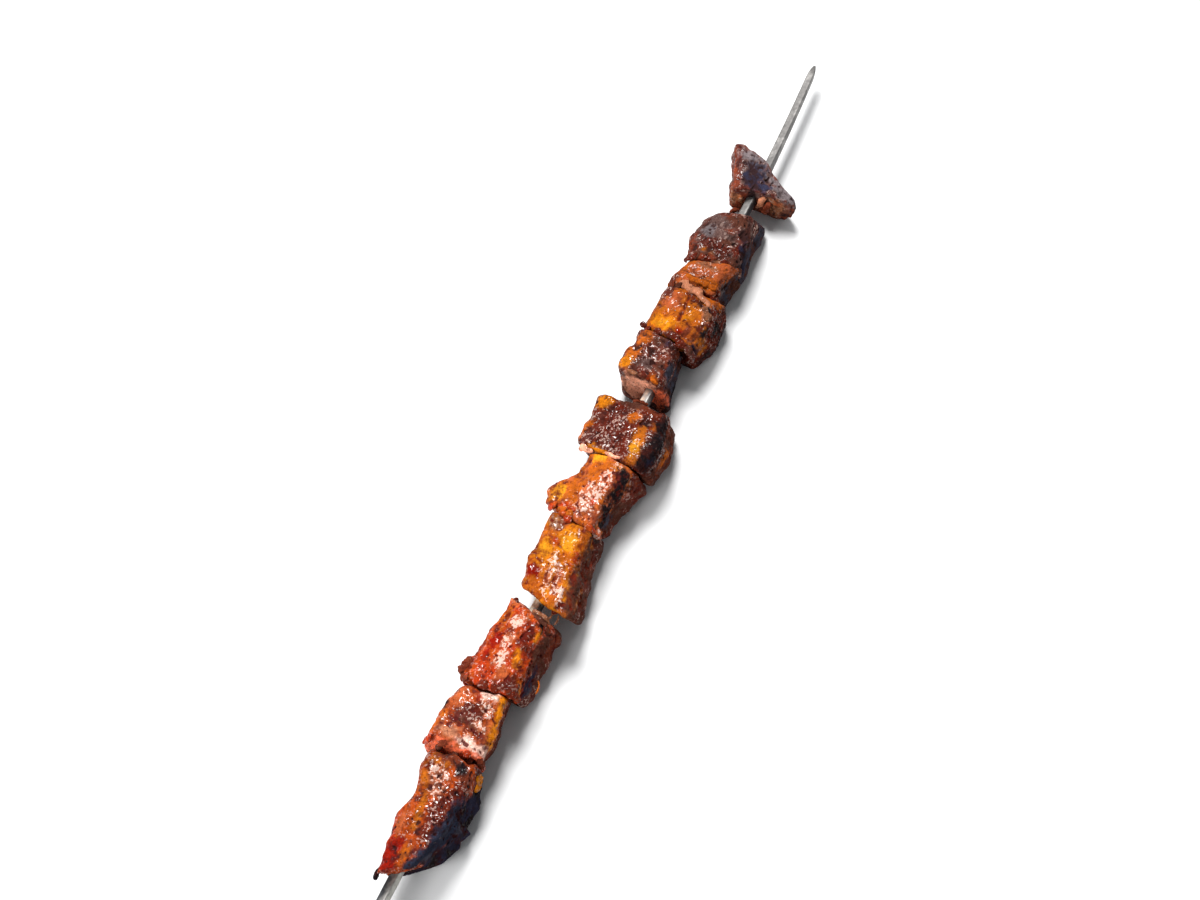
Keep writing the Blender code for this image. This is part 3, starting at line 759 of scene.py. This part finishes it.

# ---------------------------------------------------------------- piece 6
# The largest, squarish block: maroon crust covered in glaze and dotted with painted glints, golden
# corners, and a broad sooty band down the edge of its right side.
liver_piece(
    "large_block",
    liver_finish("maroon_liver", (0.035, 0.008, 0.006), (0.66, 0.40, 0.32), 0.15, 1.0, 0.75),
    "liver_piece_06", "charred_liver", seed=600,
    far=(46, -0.06, -0.18, 0), near=(15.7, 0.12, -0.25, 0), ends=(1, 0.5), top=13, under=13.5,
    sections=((19, 17, 6), (18.5, 21.5, 18), (18, 21, 15)),
    knobs=((0.12, 35, 1.8, 5),),
    folds=(((38, -8, 15), (26, -6, 15), 1.2, 0.9), ((36, 4, 13), (37, 0, 14), 1.3, 0.9),
           ((29, -7, 15), (15, -11, 14), 2.6, -0.5)),
    hollows=(("near", -2, 6, 2.2, 1),),
    tones=("maroon", "purple", "brown", "red brown"),
    marks=(
        ("brown", (42, 1, 11), (3, 6)), ("red brown", (41, -8, 13), (2.5, 4)),
        ("gold", (39, 15, 11), (3.2, 3.8)), ("glazed crust", (27, 8, 12), (9, 5)),
        ("glazed crust", (22, 1, 14), (5.5, 3.5)), ("orange", (35, -2, 14), (3.4, 2.8)),
        ("orange", (33, -13.6, 14.5), (3.8, 2.8)), ("black", (33.2, -8.8, 15), (3.2, 1.8)),
        ("amber", (29, -8, 15), (15, -10.5, 14.5), 3), ("yellow", (20, -9, 15), (3.4, 2.1)),
        ("maroon", (23, -3, 14), (6.5, 2)), ("orange", (26, 18, 5), (7.5, 3)),
        ("red brown", (24, 19, -2), (8, 3)),
        ("black", (38, -16.6, 14.5), (14, -16.2, 13.5), 4), ("navy", (30, -16, 14), (16, -17, 12), 1.2),
        ("brown", (31, -20, 7), (6.5, 2.6)), ("orange", (26, -21.5, 5), (4.6, 3.4)),
        ("gold", (15.2, 11, 9), (14, -4, 11), 1.6),
    ),
    strands=(
        ("pale cut", ((16.5, 16, 5.5), (14, 13, 7.6), (13.4, 8.5, 9.4)), 1.8, 1.1),
        ("gold", ((15.4, 10.5, 9.4), (14.6, 6, 11.2), (14.2, 1, 12.2)), 1.5, 1),
        ("pale cut", ((14, 3, 12.2), (13, -2, 13.4), (13.6, -6, 13.4)), 0.9, 0.8),
        ("red brown", ((45, 3, 9), (46.8, 0, 8.6), (46.6, -4, 9)), 1.4, 1.3),
    ),
)

# ---------------------------------------------------------------- piece 7
# An orange block with an ear on its left, glaze on top whitened with painted glints, and a black band
# under its right edge.
liver_piece(
    "eared_block",
    liver_finish("orange_liver", (0.09, 0.012, 0.008), (0.80, 0.55, 0.42), 0.5, 1.0, 0.92),
    "liver_piece_07", "golden_liver", seed=700,
    overhang=("orange", "red", "glaze", "red orange"),
    far=(15.4, 0.12, -0.25, 0), near=(-19, 0.14, -0.36, 0), ends=(0.4, 0.15), top=12, under=13.5,
    sections=((7.5, 17.5, 26), (9.5, 15, 19), (17, 11.5, 10), (18, 9.5, 5)),
    knobs=((0.7, 15, 1.5, 4),),
    folds=(((11, 8, 8), (-2, 9, 9), 1.1, 0.4), ((-2, 9, 9), (-16, 8.5, 10.5), 1.6, -0.4)),
    hollows=(),
    tones=("orange", "salmon", "brown", "maroon"),
    marks=(
        ("yellow", (11, 3, 11), (2.6, 4.5)), ("orange", (3, 2, 13), (5.5, 6)),
        ("glazed gold", (8, -6, 13), (3.5, 2.5)), ("glaze", (0, -4, 13), (5, 3.4)),
        ("white glaze", (-10, 0, 13), (8, 4.6)), ("white glaze", (-16, -2, 12), (3, 4.2)),
        ("red", (-5, 4, 13), (1.8, 1.2)), ("red", (-12, -3, 13), (1.5, 1.4)),
        ("gold", (-12, 14, 9), (5.4, 4.4)), ("yellow", (-12, 14, 9.3), (4.2, 3.4)),
        ("orange", (-0.9, 9.3, 8), (-15.7, 8.5, 10.7), 1.5), ("maroon", (-6, 18, 5), (2.8, 1.8)),
        ("glaze", (-13, 17, 6), (4, 1.8)), ("maroon", (-18, 13, 7), (2, 3)),
        ("red", (-19, 8, 9), (2.8, 3.4)), ("black", (-15.5, 9, 10), (0.9, 0.9)),
        ("black", (5.5, -10.6, 13.5), (-17.5, -10.8, 8), 2.9), ("black", (2, -12, 10), (-14, -12, 6), 2),
        ("brown", (-9, -13, 1), (10.5, 3.5)), ("maroon", (8, -13, 9), (2.8, 3.2)),
        ("slate", (-14, -12, 2), (4, 3)),
    ),
)

# ---------------------------------------------------------------- piece 8
# The brightest block: smooth golden fat in rounded lumps, streaked towards the near end with glaze
# that painted glints whiten, with a blood-red spot and a brown flank that runs out to a low corner on the
# right.
liver_piece(
    "fat_block",
    liver_finish("golden_fat_liver", (0.12, 0.014, 0.006), (0.85, 0.58, 0.36), 0.4, 1.0, 0.8),
    "liver_piece_08", "golden_liver", seed=800,
    far=(-19.3, 0.14, -0.36, 0), near=(-59.3, 0.30, -0.50, 0), ends=(0.1, 1), top=12, under=13.5,
    sections=((11.5, 11, 13), (12, 14, 11), (9.5, 20.3, 12)),
    knobs=((0.35, 60, 1.2, 6),),
    folds=(((-37, 8, 11), (-38, 0, 13), 0.9, 0.7), ((-42, 9, 10), (-43, 2, 12.5), 0.7, 0.5),
           ((-44, -7, 13), (-64, -9, 13), 1.2, -0.7), ((-48, -11, 12), (-66, -14, 11), 1.4, 1)),
    hollows=(("far", -7, 2, 2.5, 2),),
    tones=("orange", "gold", "brown", "purple"),
    marks=(
        ("grey brown", (-26, 9, 9), (2.2, 2.4)), ("tan", (-27, 7, 10.5), (3.8, 3.6)),
        ("gold", (-34, -1, 12), (6.5, 5)), ("yellow", (-34, -2, 12), (4.2, 3.4)),
        ("gold", (-42, 7, 11), (6, 4.2)), ("yellow", (-41, 7.3, 11), (4, 3)),
        ("red", (-36.5, 4, 12), (1.8, 1.8)), ("orange", (-32, -8, 12), (8, 1.6)),
        ("red", (-44, -8, 12), (6, 1.4)),
        ("amber", (-49, -4, 13), (4, 5)), ("glazed gold", (-44, 1, 12.4), (-58, -2, 12), 2.2),
        ("white glaze", (-47, -3.5, 12.6), (-60, -6.7, 13.5), 1.5),
        ("white glaze", (-51, 0, 12.6), (-58, -2, 12), 1.1),
        ("white glaze", (-57, -8.5, 13.5), (-65, -11.2, 13.9), 1),
        ("orange", (-54, 4, 11), (5, 1.8)), ("deep red", (-54, 7.2, 11), (3.7, 3.4)),
        ("orange", (-59, 6, 10), (2.6, 2.6)), ("deep red", (-64.5, -1, 11), (1.6, 3.4)),
        ("maroon", (-65, -11, 13), (3, 2.6)), ("navy", (-47, -11, 12), (-66, -14, 11), 1.7),
        ("slate", (-60, -15, 11), (6, 1.2)), ("brown", (-29, -11.8, 9), (-46, -12.8, 10), 3),
        ("brown", (-46, -12.8, 10), (-66, -17.5, 12.4), 3), ("black", (-24.5, -10.4, 7), (3.2, 3.6)),
        ("brown", (-42, -13, 5), (16, 4)), ("red", (-33, -14, 2), (3, 1.2)),
    ),
    strands=(
        ("maroon", ((-63.5, -9.5, 12.5), (-66, -10.5, 11.5), (-68, -10, 9.6)), 1.5, 1.2),
        ("red", ((-19.6, 7.5, 9.6), (-18.6, 5, 10.8), (-19.2, 1.5, 11.8)), 1.3, 1.1),
    ),
)

# ---------------------------------------------------------------- piece 9
# A red block with a pale cut corner and frayed tan fibres at the far end, a round lobe low on its
# left, and a sooty corner low on its right.
liver_piece(
    "red_block",
    liver_finish("red_liver_skin", (0.09, 0.010, 0.007), (0.80, 0.52, 0.42), 0.3, 0.65, 0.95),
    "liver_piece_09", "red_liver", seed=900,
    overhang=("red brown", "red", "maroon"),
    far=(-66.8, 0.29, -0.33, 0), near=(-109.6, -0.08, -0.20, 0), ends=(1, 0.9), top=12, under=13.5,
    sections=((9, 14.5, 30), (9, 13.2, 28), (10.5, 13.8, 20), (13.2, 14, 6)),
    knobs=((0.82, 8, 4.6, 3.8),),
    folds=(((-99, 13.5, 6), (-109, 12.5, 4), 1, 1.6),
           ((-78, -3, 14), (-95, -4.5, 14), 0.9, 0.7), ((-78, -9, 12.5), (-88, -9, 13), 0.8, -0.5),
           ((-93, -4.6, 14), (-108, -11, 8), 1.6, -0.5), ((-104, 11, 6), (-109, 12, 3), 1.2, 1.2),
           ((-72, 7, 7), (-82, 9, 9), 1.2, 0.5)),
    hollows=(("far", -1, 4, 2.6, 2.4), ("far", -8, 8, 2.2, 1.2)),
    tones=("red", "red orange", "brown", "purple"),
    marks=(
        ("pink", (-68, 6, 6), (3.2, 4)), ("salmon", (-70, 6, 7), (2.8, 3.2)),
        ("red", (-71, 4, 9), (1.8, 1.4)), ("orange", (-75.5, 8.5, 7.5), (5, 3.4)),
        # The glaze spots along the top are whitened with painted glints.
        ("white glaze", (-79, 2, 12.5), (4.4, 3)), ("white glaze", (-88, 2, 12.6), (4.4, 2.6)),
        ("white glaze", (-98, 1, 13), (4.8, 3.6)), ("salmon", (-104, -3, 13), (3.4, 2.6)),
        ("maroon", (-83.5, 3, 12), (2, 2.4)), ("deep red", (-88.3, 7.4, 10.2), (4.4, 2.6)),
        ("orange", (-83, 8, 9), (2.4, 1.5)), ("deep red", (-96, 8, 9), (3, 1.4)),
        ("maroon", (-84, -5.5, 14.5), (7, 2.6)), ("maroon", (-90, -9, 13.5), (6, 2)),
        ("gold", (-78, -9, 12.3), (-84, -9, 12.6), 0.8), ("gold", (-93, -4.6, 14), (-108, -11, 8), 1.5),
        ("tan", (-73, -7, 11), (2.6, 5)), ("black", (-77, -8, 12.5), (2, 2.6)),
        ("brown", (-87, -13, 8), (12, 4)), ("red brown", (-79, -15, 1), (6.5, 2.6)),
        ("navy", (-102, -14, 4), (8.5, 3)), ("slate", (-104, -15, 1), (6, 1.4)),
        ("seared edge", (-108, -8, 11.7), (4, 4)), ("red", (-106, 6, 10), (4, 3.6)),
        ("salmon", (-107, 7, 8), (2, 2.4)), ("red brown", (-104, 16, 3), (4.4, 3.4)),
        ("brown", (-110, 12, 3), (-108.2, -1.8, 11), 1.2),
    ),
    strands=(
        ("tan", ((-71, -1.5, 11.5), (-72, -6, 12.5), (-73.5, -11, 10.5)), 1.2, 1),
        ("brown", ((-73, -2.5, 12.8), (-74.5, -6.5, 13.4), (-75.5, -10.5, 11.8)), 1.1, 1),
        ("tan", ((-71, -9, 9), (-68.5, -9.6, 9.4), (-66, -9.2, 10.4)), 0.6, 0.5),
        ("tan", ((-71.5, -12, 7), (-69, -12.6, 7.6), (-67.4, -12.2, 9)), 0.5, 0.45),
        ("seared edge", ((-70, 7, 5.5), (-67.6, 8, 6), (-66.4, 8.6, 6)), 1.3, 1.1),
        ("orange", ((-97, -16.4, 4), (-100, -18.2, 4.6), (-103, -18, 3.8)), 0.7, 0.5),
        ("red brown", ((-98.5, 13.4, 3.4), (-103.5, 15.4, 2.8), (-108, 14.2, 2)), 2.8, 2.2),
    ),
)

# ---------------------------------------------------------------- piece 10
# A salmon-red block: smooth cut meat at its two ends, the near cut brightened as painted light, maroon
# crust between them, and broad patches of glaze near the hand, pale with painted sheen.
liver_piece(
    "salmon_block",
    liver_finish("salmon_red_liver", (0.09, 0.012, 0.010), (0.82, 0.56, 0.48), 0.5, 1.0, 0.9),
    "liver_piece_10", "red_liver", seed=1000,
    overhang=("red", "red brown"),
    far=(-111.8, -0.25, -0.05, 0), near=(-142.8, 0, 0.05, 0), ends=(0.4, 0.9), top=11, under=13.5,
    sections=((14, 8.2, -6), (14.5, 11, -7), (16, 11, -9)),
    knobs=(),
    folds=(((-130, 10, 11), (-132, -6, 10), 1.4, 0.9), ((-114, 3, 10), (-119, 1, 11), 0.9, 0.6)),
    hollows=(),
    tones=("salmon", "red orange", "maroon", "brown"),
    marks=(
        ("salmon", (-121, 8, 11), (5, 4.5)),
        ("set glaze", (-114.5, -1.8, 9.7), (3, 4.4)), ("red", (-115, 3, 10), (-119, 1, 11.3), 1.3),
        ("white glaze", (-121, -3, 11), (4, 4)), ("glazed crust", (-125, 1, 11), (5.2, 6)),
        ("purple", (-128, 4, 11), (2.6, 5)), ("white glaze", (-130.5, -4.5, 10), (3, 3.4)),
        ("gold", (-114.3, -8.3, 9.3), (-134.4, -11.3, 7.5), 2),
        ("brown", (-128.8, 3.9, 11.4), (-131.2, -4.5, 9.9), 0.9), ("orange", (-130, 12, 11), (2, 2)),
        ("black", (-131, 6, 11), (1.4, 1.4)), ("black", (-125.4, 13.8, 9.3), (2, 2.2)),
        ("pink", (-136, 5.5, 11), (3.2, 5)), ("set glaze", (-137.9, -2.4, 9.9), (4, 3.6)),
        ("set glaze", (-138.6, -9.3, 7.6), (3.8, 2.8)),
        ("red", (-141.4, 13, 8.6), (-141.8, -9, 7.6), 1.6), ("orange", (-136, 13, 9), (3, 1.6)),
        ("cut red", (-142.8, 4, 1), (4, 13)), ("cut red", (-142.3, 13, 6), (-142.3, -9, 6), 2.6),
    ),
    strands=(
        ("brown", ((-140.5, 8.5, 6.5), (-142.6, 8, 7), (-144.6, 8.4, 6.5)), 1.4, 1),
        ("brown", ((-140.8, 0.5, 7), (-142.8, 0, 7.4), (-144.8, 0.4, 7)), 1, 0.9),
        ("red brown", ((-140.8, -6.5, 5.6), (-142.8, -7, 6.2), (-145, -6, 6.6)), 1.2, 0.9),
    ),
)

# ---------------------------------------------------------------- piece 11, nearest the hand
# A long block cut to a slant, red along its left edge, with streaks of gold on top and a big
# flank of black, matt char on its right, tinted blue and darkened as painted shade.
liver_piece(
    "hand_block",
    liver_finish("charred_red_liver", (0.03, 0.008, 0.008), (0.62, 0.36, 0.28), 0.3, 1.0, 0.82),
    "liver_piece_11", "charred_liver", seed=1100,
    far=(-143.6, 0, -0.08, 0), near=(-198.5, -0.80, -0.22, 0), ends=(0.9, 1), top=12, under=13.5,
    sections=((12, 13, -5), (6.5, 15, 13), (6, 16.2, 24), (2.5, 13, 20)),
    knobs=((0.6, 60, 1.2, 6),),
    folds=(((-158, 6, 11), (-181, 0, 13), 1.3, -0.4), ((-170, 8, 9), (-176, 8, 8), 1.6, 0.9),
           ((-158, 3, 12), (-160, -5, 13), 0.9, 0.6)),
    hollows=(("far", 4, 8, 2.4, 1.8), ("far", -5, 8, 2.6, 2.2)),
    tones=("red orange", "maroon", "navy", "black"),
    marks=(
        ("amber", (-149, 3, 11), (4, 5)), ("red brown", (-147, 0, 12), (2.4, 6)),
        # The two glaze spots near the far end are whitened with painted glints.
        ("white glaze", (-156, 1.5, 12), (3.8, 3.6)), ("white glaze", (-162, -1.5, 12.5), (3, 3.2)),
        ("orange", (-157, 7, 10), (6, 1.8)), ("amber", (-157, 6.7, 11.5), (-168, 1.5, 12), 1.1),
        ("amber", (-168, 1.5, 12), (-181, -0.5, 13), 1.3), ("maroon", (-174, -6, 14), (10, 3.6)),
        ("glazed crust", (-170, -4, 13.5), (5, 2)), ("glazed crust", (-182, -5, 14), (4, 2.4)),
        ("maroon", (-162, -9.5, 13), (10, 3.6)), ("red brown", (-152, -9, 11), (4, 3.4)),
        ("salmon", (-180, 6, 12), (6.5, 2.2)), ("red", (-176, 8, 10), (-200, 5, 8), 1.7),
        ("deep red", (-195, 3, 11), (8.5, 4)), ("orange", (-193, -2, 12.5), (3.4, 1.8)),
        ("black", (-201, 6, 4), (7, 1.8)), ("orange", (-148, -14, 3), (2.4, 2.2)),
        ("blue soot", (-180, -13, 10), (19, 5.5)),
        ("blue soot", (-176, -12, 13.5), (-196, -6.5, 11.5), 2.8),
        # The two black spots near the far cut are painted shade in the hollow between this piece and the
        # last.
        ("slate", (-176, -14, 11), (9, 1.3)), ("black", (-148.7, -6.6, 11.5), (3.4, 2)),
        ("slate", (-190, -10, 9), (6, 1.6)), ("slate", (-176, -16, 4), (10, 1.5)),
        ("black", (-146, 1.4, 11), (1.6, 1.8)),
    ),
    strands=(
        ("black", ((-198.5, 6, 4), (-202, 6.8, 2.6), (-204.5, 6.4, 1.4)), 1.4, 1.2),
        ("gold", ((-146.5, -10.3, 6.8), (-149.5, -13.2, 4), (-152.5, -14.4, 1)), 3, 1),
    ),
)

# ---------------------------------------------------------------- floor, light and camera
# A plain pale floor under a large soft box behind and to the left of the kebab, with a dim white
# room round it.
FLOOR_HALF = 6.0
FLOOR_GREY = (0.72, 0.72, 0.72, 1.0)
floor_mesh = bpy.data.meshes.new("floor")
floor_corners = [(x * FLOOR_HALF, y * FLOOR_HALF, 0.0) for x, y in ((-1, -1), (1, -1), (1, 1), (-1, 1))]
floor_mesh.from_pydata(floor_corners, [], [(0, 1, 2, 3)])
floor = bpy.data.objects.new("floor", floor_mesh)
bpy.context.scene.collection.objects.link(floor)
floor_paint = bpy.data.materials.new("pale_floor")
floor_paint.use_nodes = True
floor_paint.node_tree.nodes["Principled BSDF"].inputs["Base Color"].default_value = FLOOR_GREY
floor_paint.node_tree.nodes["Principled BSDF"].inputs["Roughness"].default_value = 0.9
floor_mesh.materials.append(floor_paint)

room = bpy.data.worlds.new("white_room")
room.use_nodes = True
room.node_tree.nodes["Background"].inputs["Color"].default_value = (0.94, 0.97, 1.0, 1.0)
room.node_tree.nodes["Background"].inputs["Strength"].default_value = 0.26
bpy.context.scene.world = room


def soft_box(name, place, aim, width, height, power):
    """A rectangular light at place, in metres, turned so that it faces aim."""
    data = bpy.data.lights.new(name, "AREA")
    data.shape = "RECTANGLE"
    data.size, data.size_y, data.energy = width, height, power
    light = bpy.data.objects.new(name, data)
    back = np.array(place, float) - np.array(aim, float)
    back /= np.linalg.norm(back)
    across = np.cross((0.0, 1.0, 0.0), back)
    across /= np.linalg.norm(across)
    turned = np.eye(4)
    turned[:3, 0], turned[:3, 1], turned[:3, 2] = across, np.cross(back, across), back
    turned[:3, 3] = place
    light.matrix_world = Matrix(turned.tolist())
    bpy.context.scene.collection.objects.link(light)
    return light


soft_box("key_box", (0.42, 0.32, 0.88), (0.0, 0.0, 0.0), 0.42, 0.36, 16.5)
soft_box("fill_box", (-0.85, 0.30, 0.62), (0.0, 0.0, 0.0), 0.50, 0.44, 9.5).visible_glossy = False

CAMERA_PLACE = (-0.431330, -0.199690, 0.874463)
CAMERA_TURN = math.radians(24.7214)
CAMERA_TILT = math.radians(60.0)
CAMERA_LENS = 65.0
forward = np.array((math.cos(CAMERA_TURN) * math.cos(CAMERA_TILT),
                    math.sin(CAMERA_TURN) * math.cos(CAMERA_TILT), -math.sin(CAMERA_TILT)))
right = np.array((math.sin(CAMERA_TURN), -math.cos(CAMERA_TURN), 0.0))
above = np.cross(right, forward)
camera_data = bpy.data.cameras.new("camera")
camera_data.lens = CAMERA_LENS
camera = bpy.data.objects.new("camera", camera_data)
camera_matrix = np.eye(4)
camera_matrix[:3, 0], camera_matrix[:3, 1], camera_matrix[:3, 2] = right, above, -forward
camera_matrix[:3, 3] = CAMERA_PLACE
camera.matrix_world = Matrix(camera_matrix.tolist())
bpy.context.scene.collection.objects.link(camera)
bpy.context.scene.camera = camera
bpy.context.scene.view_settings.view_transform = "Standard"
